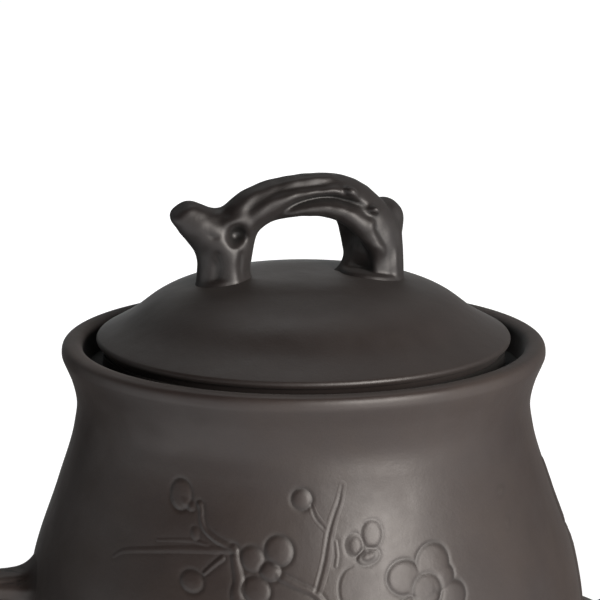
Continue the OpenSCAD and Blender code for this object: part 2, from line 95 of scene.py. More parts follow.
def smooth_curve(knots, x):
    """The value at x of a smooth curve through knots (value, x)."""
    value, at = np.array(knots).T
    steps = np.diff(at)
    slopes = np.diff(value) / steps
    inner = (slopes[:-1] * steps[1:] + slopes[1:] * steps[:-1]) / (steps[:-1] + steps[1:])
    tangent = np.concatenate([slopes[:1], inner, slopes[-1:]])
    i = np.clip(np.searchsorted(at, x, side="right") - 1, 0, len(steps) - 1)
    t = np.clip((x - at[i]) / steps[i], 0, 1)
    return (
        (2 * t**3 - 3 * t**2 + 1) * value[i]
        + (t**3 - 2 * t**2 + t) * tangent[i] * steps[i]
        + (3 * t**2 - 2 * t**3) * value[i + 1]
        + (t**3 - t**2) * tangent[i + 1] * steps[i]
    )


def hand_wobble(turn, height):
    """How far the hand left the wall out of true, never above the turned radius."""
    a = np.radians(turn)
    wave = (
        np.sin(2 * a + 55 * height + 0.6)
        + 0.6 * np.sin(3 * a - 90 * height + 2.1)
        + 0.4 * np.sin(5 * a + 140 * height)
    )
    return WOBBLE * (wave - 2)


def wall_radius(turn, height):
    return smooth_curve(OUTLINE, height) + hand_wobble(turn, height)


def on_ring(turn, radius, height):
    """Points at a turn in degrees from the relief's face, towards the spout."""
    a = np.radians(turn)
    radius, height, a = np.broadcast_arrays(radius, height, a)
    return np.stack([radius * np.sin(a), -radius * np.cos(a), height], -1)


def smooth_route(stations, per_span):
    """Points along the smooth route through stations, which may carry sizes as well."""
    s = np.array(stations, float)
    s = np.concatenate([2 * s[:1] - s[1:2], s, 2 * s[-1:] - s[-2:-1]])
    out = []
    for i in range(1, len(s) - 2):
        t = np.linspace(0, 1, per_span, endpoint=False)[:, None]
        p0, p1, p2, p3 = s[i - 1], s[i], s[i + 1], s[i + 2]
        out.append(0.5 * (2 * p1 + (p2 - p0) * t + (2 * p0 - 5 * p1 + 4 * p2 - p3) * t**2
                          + (3 * p1 - p0 - 3 * p2 + p3) * t**3))
    return np.concatenate(out + [s[-2:-1]])


def oval(turn, height, width, rise, lean=0.0):
    """A petal: a rounded oval with its middle at (turn, height mm), half sizes in mm."""
    return ("oval", turn, height, width, rise, math.radians(lean))


def twig(*stations):
    """A twig through stations (turn, height mm, radius mm)."""
    return ("twig", smooth_route(stations, per_span=5))


def flower(*petals):
    """Petals drawn with one outline round them all."""
    return ("flower", petals)


def edge_distance(shape, turn, height):
    """Distance in mm along the wall from a shape's edge, negative inside it."""
    if shape[0] == "flower":
        return np.minimum.reduce([edge_distance(petal, turn, height) for petal in shape[1]])
    up = height / MM
    across = np.radians(turn) * smooth_curve(OUTLINE, height) / MM
    if shape[0] == "oval":
        _, turn0, up0, width, rise, lean = shape
        middle = math.radians(turn0) * smooth_curve(OUTLINE, np.array([up0 * MM]))[0] / MM
        u, v = across - middle, up - up0
        a = (u * math.cos(lean) + v * math.sin(lean)) / width
        b = (v * math.cos(lean) - u * math.sin(lean)) / rise
        rho = np.hypot(a, b) + 1e-9
        return (rho - 1) * np.hypot(u, v) / rho
    best = np.full(np.shape(across), FAR_OFF)
    line = shape[1]
    line_u = np.radians(line[:, 0]) * smooth_curve(OUTLINE, line[:, 1] * MM) / MM
    for i in range(len(line) - 1):
        du, dv = line_u[i + 1] - line_u[i], line[i + 1, 1] - line[i, 1]
        u, v = across - line_u[i], up - line[i, 1]
        t = np.clip((u * du + v * dv) / (du * du + dv * dv + 1e-12), 0, 1)
        radius = line[i, 2] + t * (line[i + 1, 2] - line[i, 2])
        best = np.minimum(best, np.hypot(u - t * du, v - t * dv) - radius)
    return best


# The relief as drawn, lowest layer first: (piece, rise, softness, crease, shape), all in mm.
# A layer with a rise below zero and no crease is a groove.
RELIEF = [
    ("bough", 0.34, 0.9, 0.13, twig((30, 48, 1.6), (16, 55, 2.3), (3, 62, 2.5), (-8, 68, 2.4),
                                    (-17, 74.5, 2.1), (-21.4, 80, 1.8), (-21.6, 84, 1.5),
                                    (-22.4, 87.5, 1.3), (-23.4, 91.4, 1.0))),
    ("twigs", 0.26, 0.45, 0.10, twig((-23, 91, 0.9), (-27.5, 92.9, 0.8), (-30.5, 95, 0.75),
                                     (-31.7, 97.4, 0.75), (-32, 99.2, 0.75), (-32.5, 100.4, 0.9))),
    ("twigs", 0.12, 0.5, 0.04, twig((-24, 90.9, 0.9), (-33.5, 90.1, 0.8), (-41.7, 88.8, 0.7),
                                     (-50, 87, 0.55), (-53.2, 85, 0.35))),
    ("twigs", 0.08, 0.4, 0.04, twig((-29.5, 91.6, 0.5), (-34, 92.1, 0.45), (-42, 91, 0.3))),
    ("twigs", 0.26, 0.4, 0.10, twig((-25.7, 89, 0.75), (-27.6, 87.2, 0.6), (-29.4, 85.2, 0.5))),
    ("twigs", 0.22, 0.5, 0.09, twig((-13, 85.6, 1.1), (-9.2, 83.7, 1.0), (-5.6, 81.8, 0.95),
                                    (-3.4, 78, 0.9), (-3.6, 72, 0.9), (-6, 68, 0.9))),
    ("twigs", 0.03, 1.2, 0.0, twig((1.1, 106.2, 0.9), (0.2, 102.6, 1.1), (-1.1, 99.3, 1.2),
                                    (-2.3, 95.2, 1.3), (-3.4, 89, 1.3), (-5.2, 82.6, 1.2))),
    ("twigs", -0.2, 0.5, 0.0, twig((0.9, 106.0, 0.3), (0.1, 102.6, 0.5), (-1.2, 99.3, 0.55),
                                    (-2.5, 95.2, 0.55), (-3.7, 89, 0.6), (-5.4, 82.6, 0.6))),
    ("twigs", 0.02, 0.9, 0.0, twig((-6.5, 101.6, 0.8), (-5.2, 98.8, 0.9), (-3.2, 96.4, 0.9))),
    ("twigs", -0.16, 0.45, 0.0, twig((-6.4, 102.0, 0.4), (-5.3, 98.8, 0.5), (-3.5, 96.6, 0.4))),
    ("twigs", 0.10, 0.4, 0.06, twig((-1, 93.4, 0.35), (-0.8, 90.4, 0.4), (-1.2, 88, 0.4))),
    ("twigs", 0.22, 0.5, 0.10, twig((9, 59.5, 1.1), (13, 67, 1.1), (15, 73, 1.0), (17, 77, 0.9))),
    ("buds", 0.22, 0.8, 0.07, oval(-32.7, 93.7, 1.2, 1.6)),
    ("buds", 0.36, 1.4, 0.13, oval(-32, 83.1, 3.1, 2.5)),
    ("buds", 0.34, 1.3, 0.14, oval(-8.5, 103.0, 2.4, 2.4)),
    ("leaf", 0.22, 1.0, 0.08, oval(-35.6, 100.2, 2.2, 1.3, -30)),
    ("leaf", 0.36, 1.5, 0.14, oval(-37.8, 102.1, 3.0, 3.6, -14)),
    ("left", 0.34, 1.5, 0.13, oval(-19.2, 89.3, 2.9, 2.9)),
    ("left", 0.42, 1.7, 0.16, oval(-13.4, 91.3, 3.4, 3.5, -12)),
    ("left", 0.36, 1.5, 0.13, oval(-17.9, 82.4, 3.5, 3.1)),
    ("left", 0.44, 1.2, 0.13, oval(-15.1, 86.7, 2.6, 2.2)),
    ("middle", 0.08, 2.5, 0.0, oval(3.4, 82.4, 4.9, 5.9)),
    ("middle", -0.14, 0.4, 0.0, twig((2.6, 87.9, 0.3), (0.9, 87.1, 0.5), (-0.5, 85.0, 0.6),
                                     (-0.8, 81.6, 0.6), (0.2, 78.2, 0.5), (2.0, 76.2, 0.3))),
    ("middle", 0.14, 0.8, 0.10, flower(oval(3.1, 92.4, 2.2, 2.7), oval(7.2, 94.7, 2.6, 3.2))),
    ("middle", 0.18, 0.8, 0.08, oval(3.3, 92.3, 1.6, 2.1)),
    ("middle", 0.16, 0.5, 0.12, oval(6.0, 89.6, 2.9, 1.8, 15)),
    ("middle", 0.20, 0.5, 0.12, oval(6.1, 89.7, 1.8, 1.05, 15)),
    ("right", 0.24, 1.7, 0.15, flower(
        oval(14.6, 76.6, 3.9, 3.8), oval(22.4, 75.4, 3.9, 3.8), oval(24.1, 78.7, 3.7, 3.5),
        oval(13.5, 84.3, 4.5, 4.0), oval(17.0, 82.5, 4.4, 3.5), oval(20.5, 86.4, 4.6, 4.8),
        oval(22.2, 83.2, 3.4, 3.4))),
    ("right", 0.30, 1.4, 0.12, oval(18.2, 80.6, 3.9, 4.1)),
    ("wall", 0.16, 1.2, 0.05, oval(45, 98.9, 1.6, 1.2, 20)),
    ("wall", 0.14, 1.2, 0.04, oval(44.4, 91.4, 1.2, 1.6)),
    ("wall", 1.5, 4.0, 0.0, twig((84, 79, 1.5), (85.5, 74, 4.0), (88, 66, 7.5), (90, 58, 11))),
    ("wall", 0.6, 1.2, 0.12, twig((78.6, 97.4, 1.4), (79.4, 93, 1.8), (80.6, 87, 2.3),
                                  (82, 82, 2.8))),
]
CREASE_WIDTH = 0.6
# How dark a crease's painted shade gets for each mm of its depth
CREASE_SHADE_PER_DEPTH = 6
# Where a later layer lies over a crease, this much of its painted shade line is left
COVERED_CREASE_SHADE = 0.4
FAR_OFF = 99.0


def relief_at(turn, height):
    """Height over the plain wall, how much painted shade its creases get, and each piece's edge
    distance in mm.
    """
    top = np.zeros(np.shape(turn + height))
    creases = np.zeros(top.shape)
    reach = {}
    for piece, rise, softness, crease, shape in RELIEF:
        d = edge_distance(shape, turn, height)
        inside = np.exp(np.minimum(d, 0) / softness)
        top = np.where(d < 0, top * inside + rise * (1 - inside), top)
        line = np.exp(-((d / CREASE_WIDTH) ** 2)) if crease else np.where(d < 0, 1 - inside, 0)
        top = top - crease * line
        # The creases' painted shade, fainter where a later layer covers them
        creases = creases * np.where(d < -1, COVERED_CREASE_SHADE, 1)
        creases = np.maximum(creases, line * min(1, CREASE_SHADE_PER_DEPTH * max(crease, -rise)))
        for other in reach:
            if other != piece:
                reach[other] = np.maximum(reach[other], -d)
        reach[piece] = np.minimum(reach.get(piece, FAR_OFF), d)
    return top * MM, creases, reach


def smooth_shade(mesh):
    """Shades clay smooth, but for edges that turn by more than 50 degrees."""
    mesh.shade_smooth()
    mesh.set_sharp_from_angle(angle=math.radians(50))


def dab_mesh(name, vertices, faces):
    """A smooth-shaded mesh object from arrays of points and of four-cornered faces."""
    mesh = bpy.data.meshes.new(name)
    vertices = np.ascontiguousarray(vertices, np.float32)
    faces = np.ascontiguousarray(faces, np.int32)
    mesh.vertices.add(len(vertices))
    mesh.vertices.foreach_set("co", vertices.ravel())
    mesh.loops.add(faces.size)
    mesh.loops.foreach_set("vertex_index", faces.ravel())
    mesh.polygons.add(len(faces))
    starts = np.arange(0, faces.size, faces.shape[1], dtype=np.int32)
    mesh.polygons.foreach_set("loop_start", starts)
    mesh.update(calc_edges=True)
    smooth_shade(mesh)
    thing = bpy.data.objects.new(name, mesh)
    bpy.context.scene.collection.objects.link(thing)
    return thing


def paint_shade(thing, hollow):
    """Notes on each point how hollow it is, from 0 to 1, for the clay's painted shade to darken it
    there.
    """
    layer = thing.data.attributes.new("hollow", "FLOAT", "POINT")
    layer.data.foreach_set("value", np.clip(hollow, 0, 1).astype(np.float32).ravel())


def turned_mesh(name, radius, height, turns):
    """A closed ring of clay from its section: row i has radius[i], which may vary with the turn."""
    rows, columns = len(height), len(turns)
    radius = np.broadcast_to(np.reshape(radius, (rows, -1)), (rows, columns))
    points = on_ring(turns[None, :], radius, np.array(height)[:, None])
    row = np.arange(rows)[:, None] * columns
    next_row = np.roll(row, -1, axis=0)
    column = np.arange(columns)[None, :]
    next_column = np.roll(column, -1, axis=1)
    faces = [row + column, row + next_column, next_row + next_column, next_row + column]
    return dab_mesh(name, points.reshape(-1, 3), np.stack(faces, -1).reshape(-1, 4))


def combined(tree, operation, a, b, clamp=False):
    """Two numbers of a material put together; the second may be a plain number."""
    m = tree.nodes.new("ShaderNodeMath")
    m.operation = operation
    m.use_clamp = clamp
    tree.links.new(a, m.inputs[0])
    if hasattr(b, "links"):
        tree.links.new(b, m.inputs[1])
    else:
        m.inputs[1].default_value = b
    return m.outputs[0]


def spread(tree, value, low, high, out_low=0.0, out_high=1.0):
    """A number of a material, stretched from low..high to out_low..out_high and held there."""
    m = tree.nodes.new("ShaderNodeMapRange")
    tree.links.new(value, m.inputs["Value"])
    limits = {"From Min": low, "From Max": high, "To Min": out_low, "To Max": out_high}
    for key, number in limits.items():
        m.inputs[key].default_value = number
    return m.outputs["Result"]


SPECK_COLOUR = (0.24, 0.22, 0.2, 1)
SPECKS_PER_METRE = 190
# Colour and strength of the painted shade in hollows and creases
PAINTED_SHADE_COLOUR = (0.004, 0.0034, 0.003, 1)
PAINTED_SHADE_COVER = 0.85
SHEEN = 0.68
GRAIN_STRENGTH, GRAIN_HEIGHT = 0.12, 0.25 * MM
UNEVEN_STRENGTH, UNEVEN_HEIGHT = 0.22, 0.5 * MM


def fired_clay(name, dark, light, sheen_loss, patch, speck=0.0, rim_loss=0.5):
    """Fired, burnished clay: uneven body colour, fine sandy grain, a few pale specks and painted
    shade in hollows.
    """
    material = bpy.data.materials.new(name)
    material.use_nodes = True
    tree = material.node_tree
    nodes, links = tree.nodes, tree.links
    shader = nodes["Principled BSDF"]
    place = nodes.new("ShaderNodeTexCoord")

    def noise(scale, detail, rough, shift=0.0):
        n = nodes.new("ShaderNodeTexNoise")
        n.inputs["Scale"].default_value = scale
        n.inputs["Detail"].default_value = detail
        n.inputs["Roughness"].default_value = rough
        move = nodes.new("ShaderNodeVectorMath")
        move.operation = "ADD"
        move.inputs[1].default_value = (shift, shift, shift)
        links.new(place.outputs["Object"], move.inputs[0])
        links.new(move.outputs[0], n.inputs["Vector"])
        return n.outputs["Fac"]

    def blend(kind, amount, a, b):
        m = nodes.new("ShaderNodeMix")
        m.data_type = "RGBA"
        m.blend_type = kind
        for key, value in (("Factor", amount), ("A", a), ("B", b)):
            if hasattr(value, "links"):
                links.new(value, m.inputs[key])
            else:
                m.inputs[key].default_value = value
        return m.outputs["Result"]

    def bumps(height, strength, distance):
        b = nodes.new("ShaderNodeBump")
        b.inputs["Strength"].default_value = strength
        b.inputs["Distance"].default_value = distance
        links.new(height, b.inputs["Height"])
        return b

    clouds = spread(tree, noise(scale=26, detail=3, rough=0.55), 0.3, 0.7)
    body = blend("MIX", clouds, (*dark, 1), (*light, 1))
    patches = spread(tree, noise(scale=60, detail=4, rough=0.6, shift=3.0), 0.45, 0.75, 0, 0.35)
    body = blend("MIX", patches, body, (*patch, 1))
    sand = spread(tree, noise(scale=2600, detail=3, rough=0.7, shift=1.0), 0.3, 0.7, 0.9, 1.1)
    body = blend("MULTIPLY", 1.0, body, sand)
    if speck:
        dots = nodes.new("ShaderNodeTexVoronoi")
        dots.inputs["Scale"].default_value = SPECKS_PER_METRE
        links.new(place.outputs["Object"], dots.inputs["Vector"])
        small = spread(tree, dots.outputs["Distance"], 0.045, 0.075, 1, 0)
        draw = nodes.new("ShaderNodeSeparateColor")
        links.new(dots.outputs["Color"], draw.inputs[0])
        chosen = spread(tree, draw.outputs[0], 1 - speck, 1 - speck + 0.01)
        body = blend("MIX", combined(tree, "MULTIPLY", small, chosen), body, SPECK_COLOUR)
    # Hollows and creases that the mesh notes are painted dark, as the shade that falls in them
    painted_shade = nodes.new("ShaderNodeAttribute")
    painted_shade.attribute_name = "hollow"
    body = blend("MIX", spread(tree, painted_shade.outputs["Fac"], 0, 1, 0, PAINTED_SHADE_COVER), body, PAINTED_SHADE_COLOUR)
    links.new(body, shader.inputs["Base Color"])
    # The burnish shines face on and goes matt along the rim, as sanded clay does
    turned_away = nodes.new("ShaderNodeLayerWeight")
    turned_away.inputs["Blend"].default_value = 0.5
    rubbed = noise(scale=75, detail=4, rough=0.6, shift=7.0)
    rubbed = spread(tree, rubbed, 0.3, 0.7, sheen_loss - 0.05, sheen_loss + 0.06)
    rim = spread(tree, turned_away.outputs["Facing"], 0.2, 0.7, 0.0, rim_loss)
    links.new(combined(tree, "ADD", rubbed, rim, clamp=True), shader.inputs["Roughness"])
    shader.inputs["Specular IOR Level"].default_value = SHEEN
    grain = noise(scale=1500, detail=5, rough=0.62, shift=5.0)
    grain = bumps(grain, GRAIN_STRENGTH, GRAIN_HEIGHT)
    uneven = noise(scale=160, detail=3, rough=0.5, shift=9.0)
    uneven = bumps(uneven, UNEVEN_STRENGTH, UNEVEN_HEIGHT)
    links.new(grain.outputs["Normal"], uneven.inputs["Normal"])
    links.new(uneven.outputs["Normal"], shader.inputs["Normal"])
    return material


def finish_piece(thing, body, slot_name, material, *nodes):
    """Gives a piece its clay and its body, and hides the construction solids that it stands for."""
    thing.data.materials.append(material)
    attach(thing, body)
    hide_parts(*nodes)
    return thing


body_clay = fired_clay("burnished_body_clay", (0.025, 0.0178, 0.0165), (0.042, 0.0308, 0.0275),
                       0.49, (0.038, 0.0255, 0.018), speck=0.004)
ROWS_BELOW, ROWS_ABOVE, ROWS_INSIDE = 26, 10, 40
# How dark the painted shade in the relief's creases is
CREASE_SHADE_STRENGTH = 0.6
SINK = 0.1 * MM
SINK_EDGE = 0.6
wall_heights = np.concatenate([
    np.linspace(FLOOR_HEIGHT, RELIEF_BAND[0], ROWS_BELOW, endpoint=False),
    np.arange(RELIEF_BAND[0], RELIEF_BAND[1], FINE_RISE),
    np.linspace(RELIEF_BAND[1], JOINT_HEIGHT, ROWS_ABOVE),
])
relief_top, relief_crease_shade, relief_reach = relief_at(TURNS[None, :], wall_heights[:, None])
# Under each pressed-on piece the wall lies lower, so the piece's own skin is the one that shows
pressed = [relief_reach[piece] for piece in relief_reach if piece != "wall"]
under = np.clip(-np.minimum.reduce(pressed) / SINK_EDGE, 0, 1) * SINK
wall_skin = wall_radius(TURNS[None, :], wall_heights[:, None]) + relief_top - under
inner_heights = np.linspace(JOINT_HEIGHT, FLOOR_HEIGHT, ROWS_INSIDE)
wall_inside = np.broadcast_to((smooth_curve(OUTLINE, inner_heights) - WALL_THICK)[:, None],
                              (len(inner_heights), len(TURNS)))
turned_wall = turned_mesh("turned_wall", np.concatenate([wall_skin, wall_inside]),
                          np.concatenate([wall_heights, inner_heights]), TURNS)
# The relief's creases on the wall get painted shade
paint_shade(turned_wall, CREASE_SHADE_STRENGTH * np.concatenate([relief_crease_shade, 0 * wall_inside]))
# The port behind the spout, drilled from outside
PORT_RADIUS = 9 * MM
PORT_PLACE = Vector((68, 0, 41)) * MM
PORT_AIM = Vector((1, 0, 0))
DRILL_LENGTH = 20 * MM
DRILL_SIDES = 48


def cut(piece, tool):
    """Cuts the tool's shape out of the piece."""
    knife = piece.modifiers.new("cut", "BOOLEAN")
    knife.operation = "DIFFERENCE"
    knife.solver = "MANIFOLD"
    knife.object = tool
    bpy.context.view_layer.update()
    done = piece.evaluated_get(bpy.context.evaluated_depsgraph_get())
    mesh = bpy.data.meshes.new_from_object(done)
    piece.modifiers.clear()
    old = piece.data
    piece.data = mesh
    bpy.data.meshes.remove(old)
    bpy.data.objects.remove(tool)
    piece.data.materials.clear()
    smooth_shade(piece.data)


def drill(radius, middle, direction):
    """A round cutting tool of that radius, centred on middle."""
    shape = bmesh.new()
    bmesh.ops.create_cone(shape, cap_ends=True, segments=DRILL_SIDES, radius1=radius,
                          radius2=radius, depth=DRILL_LENGTH)
    mesh = bpy.data.meshes.new("drill")
    shape.to_mesh(mesh)
    shape.free()
    tool = bpy.data.objects.new("drill", mesh)
    tool.rotation_mode = "QUATERNION"
    tool.rotation_quaternion = direction.to_track_quat("Z", "Y")
    tool.location = middle
    bpy.context.scene.collection.objects.link(tool)
    return tool


cut(turned_wall, drill(PORT_RADIUS, PORT_PLACE, PORT_AIM))
finish_piece(turned_wall, "pot", "body_clay", body_clay, "pot_wall")

# The pressed relief: bough, twigs, buds and three blossoms of the same clay, rolled thin,
# pressed on the leather-hard wall and outlined with a blunt tool, then wiped with a sponge.
PRESS_DEPTH = 1.5 * MM
# Each piece stands a hair over the wall's skin and sinks into it within a skirt, in mm
SKIRT = 0.5
SKIRT_LIFT = 0.02 * MM
SKIRT_FALL = 0.06 * MM
SKIRT_END = 1.6
BRIDGE_PASSES = 4
relief_clay = fired_clay("pressed_relief_clay", (0.026, 0.0186, 0.0174),
                         (0.043, 0.0316, 0.0284), 0.49, (0.039, 0.0264, 0.019))
in_band = (wall_heights >= RELIEF_BAND[0]) & (wall_heights <= RELIEF_BAND[1])
in_face = (TURNS >= RELIEF_EDGES[0]) & (TURNS <= RELIEF_EDGES[1])
face_turns = TURNS[in_face][None, :]
face_heights = wall_heights[in_band][:, None]
face_top = relief_top[np.ix_(in_band, in_face)]


def pressed_piece(name, piece, node):
    """A closed pad of clay whose skin follows the relief and whose back lies inside the wall."""
    reach = relief_reach[piece][np.ix_(in_band, in_face)]
    near = reach < SKIRT
    cells = near[:-1, :-1] | near[1:, :-1] | near[:-1, 1:] | near[1:, 1:]
    # Cells that touch only at a corner are bridged, so that the pad's edge is one clean line
    for _ in range(BRIDGE_PASSES):
        lone = cells[:-1, :-1] & cells[1:, 1:] & ~cells[:-1, 1:] & ~cells[1:, :-1]
        cells[:-1, 1:] |= lone
        lone = ~cells[:-1, :-1] & ~cells[1:, 1:] & cells[:-1, 1:] & cells[1:, :-1]
        cells[:-1, :-1] |= lone
    rows, columns = reach.shape
    fall = np.clip(reach / SKIRT, 0, SKIRT_END) * SKIRT_FALL - SKIRT_LIFT
    plain = wall_radius(face_turns, face_heights)
    skin = on_ring(face_turns, plain + face_top - fall, face_heights).reshape(-1, 3)
    back = on_ring(face_turns, plain - PRESS_DEPTH, face_heights).reshape(-1, 3)
    i, j = np.nonzero(cells)
    front = np.stack([i * columns + j, i * columns + j + 1, (i + 1) * columns + j + 1,
                      (i + 1) * columns + j], -1)
    edges = np.concatenate([front[:, [k, (k + 1) % 4]] for k in range(4)])
    keys = edges[:, 0].astype(np.int64) * rows * columns + edges[:, 1]
    flipped = edges[:, 1].astype(np.int64) * rows * columns + edges[:, 0]
    rim = edges[~np.isin(flipped, keys)]
    shift = rows * columns
    sides = np.stack([rim[:, 1], rim[:, 0], rim[:, 0] + shift, rim[:, 1] + shift], -1)
    faces = np.concatenate([front, front[:, ::-1] + shift, sides])
    used, faces = np.unique(faces, return_inverse=True)
    points = np.concatenate([skin, back])[used]
    thing = dab_mesh(name, points, faces.reshape(-1, 4))
    creases = relief_crease_shade[np.ix_(in_band, in_face)].ravel()
    # The pad's creases get painted shade
    paint_shade(thing, CREASE_SHADE_STRENGTH * np.concatenate([creases, creases])[used])
    return finish_piece(thing, "pot", "relief_clay", relief_clay, node)


pressed_piece("pressed_bough", "bough", "relief_bough")
pressed_piece("pressed_twigs", "twigs", "relief_twigs")
pressed_piece("pressed_round_buds", "buds", "round_buds")
pressed_piece("pressed_leaf_bud", "leaf", "leaf_bud")
pressed_piece("pressed_left_blossom", "left", "blossom_left")
pressed_piece("pressed_middle_blossom", "middle", "blossom_middle")
pressed_piece("pressed_right_blossom", "right", "blossom_right")

# The base and the foot. A flat disc of the same clay closes the wall at the bottom, and
# a turned ring under it is what the pot stands on; its edges are softened with a sponge.
EDGE_SOFTNESS = 0.9 * MM
CORNER_STEPS = 5
CORNER_SHARE = 0.45
ON_AXIS = 1e-7


def soft_section(corners, softness):
    """A closed section (radius, height) with its corners rounded."""
    out = []
    count = len(corners)
    for k in range(count):
        here = np.array(corners[k])
        before = np.array(corners[k - 1]) - here
        after = np.array(corners[(k + 1) % count]) - here
        shorter = min(np.hypot(*before), np.hypot(*after))
        room = min(softness[k], CORNER_SHARE * shorter)
        a = here + before / np.hypot(*before) * room
        b = here + after / np.hypot(*after) * room
        for t in np.linspace(0, 1, CORNER_STEPS if room > 0 else 1):
            out.append((1 - t) ** 2 * a + 2 * t * (1 - t) * here + t**2 * b)
    return np.array(out).T


def close_poles(thing):
    """Joins the points that lie on the axis, so that a solid disc has one middle point."""
    shape = bmesh.new()
    shape.from_mesh(thing.data)
    middle = [v for v in shape.verts if math.hypot(v.co.x, v.co.y) < ON_AXIS]
    bmesh.ops.remove_doubles(shape, verts=middle, dist=ON_AXIS)
    loose = [edge for edge in shape.edges if not edge.link_faces]
    bmesh.ops.delete(shape, geom=loose, context="EDGES")
    shape.to_mesh(thing.data)
    shape.free()
    smooth_shade(thing.data)


BASE_ROWS, BASE_RINGS = 8, 6
BASE_EDGE = 2 * MM
base_heights = np.linspace(FOOT_HEIGHT, FLOOR_HEIGHT, BASE_ROWS)
base_side = wall_radius(TURNS[None, :], base_heights[:, None])
base_top = np.linspace(base_side[-1].mean() - BASE_EDGE, 0, BASE_RINGS)
base_under = np.linspace(0, base_side[0].mean() - BASE_EDGE, BASE_RINGS)
base_flat = np.concatenate([base_top, base_under])[:, None] + 0 * TURNS[None, :]
base_disc = turned_mesh(
    "base_plate", np.concatenate([base_side, base_flat]),
    np.concatenate([base_heights, np.full(BASE_RINGS, FLOOR_HEIGHT),
                    np.full(BASE_RINGS, FOOT_HEIGHT)]), TURNS)
close_poles(base_disc)
finish_piece(base_disc, "pot", "body_clay", body_clay, "base_disc")

FOOT_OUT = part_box("foot_ring")[1].x
FOOT_IN = FOOT_OUT - 6 * MM
FOOT_TOP = FOOT_HEIGHT + 0.4 * MM
PLAIN_TURNS = np.arange(0, 360, 1.5)
foot_section = soft_section(
    [(FOOT_OUT, 0), (FOOT_OUT, FOOT_TOP), (FOOT_IN, FOOT_TOP), (FOOT_IN, 0)],
    [EDGE_SOFTNESS, 0, 0, EDGE_SOFTNESS])
foot = turned_mesh("turned_foot", foot_section[0], foot_section[1], PLAIN_TURNS)
finish_piece(foot, "pot", "body_clay", body_clay, "foot_ring")

# The mouth. A separate ring of clay is thrown with a rolled lip and luted on the neck;
# the joint is smoothed away, so its outside runs on in the wall's own line.
NECK_ROWS, THROAT_ROWS = 20, 10
mouth_heights = np.linspace(JOINT_HEIGHT, LIP_START[1], NECK_ROWS, endpoint=False)
roll_turns = np.radians(np.arange(LIP_FROM, 181, 6))
roll_out = LIP_ROLL * np.cos(roll_turns)
roll_up = LIP_ROLL * np.sin(roll_turns)
# The top of the roll is pressed flat, which leaves a tight outer edge
PRESSED_FLAT = 0.7
top = roll_turns > 0
roll_out[top] = LIP_ROLL * np.sign(roll_out[top]) * np.abs(roll_out[top] / LIP_ROLL) ** PRESSED_FLAT
roll_up[top] = LIP_ROLL * (np.abs(roll_up[top]) / LIP_ROLL) ** PRESSED_FLAT
lip_inside = LIP_CENTRE[0] - LIP_ROLL
neck_inside = smooth_curve(OUTLINE, np.array([JOINT_HEIGHT]))[0] - WALL_THICK
down = np.linspace(0, 1, THROAT_ROWS)[1:]
mouth_radius = np.concatenate([
    smooth_curve(OUTLINE, mouth_heights),
    LIP_CENTRE[0] + roll_out,
    lip_inside + (neck_inside - lip_inside) * down,
])
mouth_height = np.concatenate([
    mouth_heights,
    LIP_CENTRE[1] + roll_up,
    LIP_CENTRE[1] + (JOINT_HEIGHT - LIP_CENTRE[1]) * down,
])
mouth_skin = mouth_radius[:, None] + hand_wobble(TURNS[None, :], mouth_height[:, None])
mouth = turned_mesh("rolled_mouth", mouth_skin, mouth_height, TURNS)
finish_piece(mouth, "pot", "body_clay", body_clay, "mouth_ring")

# The lid's seat, the lid's collar and the strainer are kept as they are built: bare clay
# that no tool has burnished, painted dark as the shade inside the pot.
shaded_inner_clay = fired_clay("bare_inner_clay_with_painted_shade", (0.007, 0.0058, 0.0054), (0.011, 0.0092, 0.0085), 0.8,
                        (0.009, 0.007, 0.006))
for bare in ("seat_ring", "spout_strainer", "lid_collar"):
    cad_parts[bare].data.materials.clear()
    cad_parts[bare].data.materials.append(shaded_inner_clay)

# The spout. A tapering tube is rolled round a stick, bent, luted over the strainer and
# modelled as a bough, with bark dragged into it and one pruned side shoot.
TUBE_STEPS = 8
SIDEWAYS = np.array([0.0, 1.0, 0.0])
# Distances are worked out up to this many mm beyond a tube's skin, and beyond that are FAR
TUBE_MARGIN = 2.5
FAR = 6.0
BARK_BEND, BARK_BEND_RATE = 0.8, 2.3
BARK_SHARPNESS = 0.3
SPOUT_ROUTE = [
    (55.8, 0, 37, 20, 19), (66.8, 0, 40, 18, 17), (77.8, 0, 43.3, 11.4, 13),
    (90.1, 0, 53.4, 9.4, 9.8), (99, 0, 71, 7.9, 8.1), (104.3, 0, 88.4, 6.9, 7),
    (107.4, 0, 105.8, 6, 6.1), (109.3, 0, 120, 5.2, 5.2), (110.6, 0, 130, 5.1, 5.1),
]


def clay_room(low, high, step):
    """An empty block of space, in mm, in which clay is modelled as distances to its skin."""
    axes = [np.arange(a, b, step) for a, b in zip(low, high)]
    return {"low": np.array(low, float), "step": step, "axes": axes}


def room_points(room, window=(slice(None), slice(None), slice(None))):
    x, y, z = (axis[part] for axis, part in zip(room["axes"], window))
    return x[:, None, None], y[None, :, None], z[None, None, :]


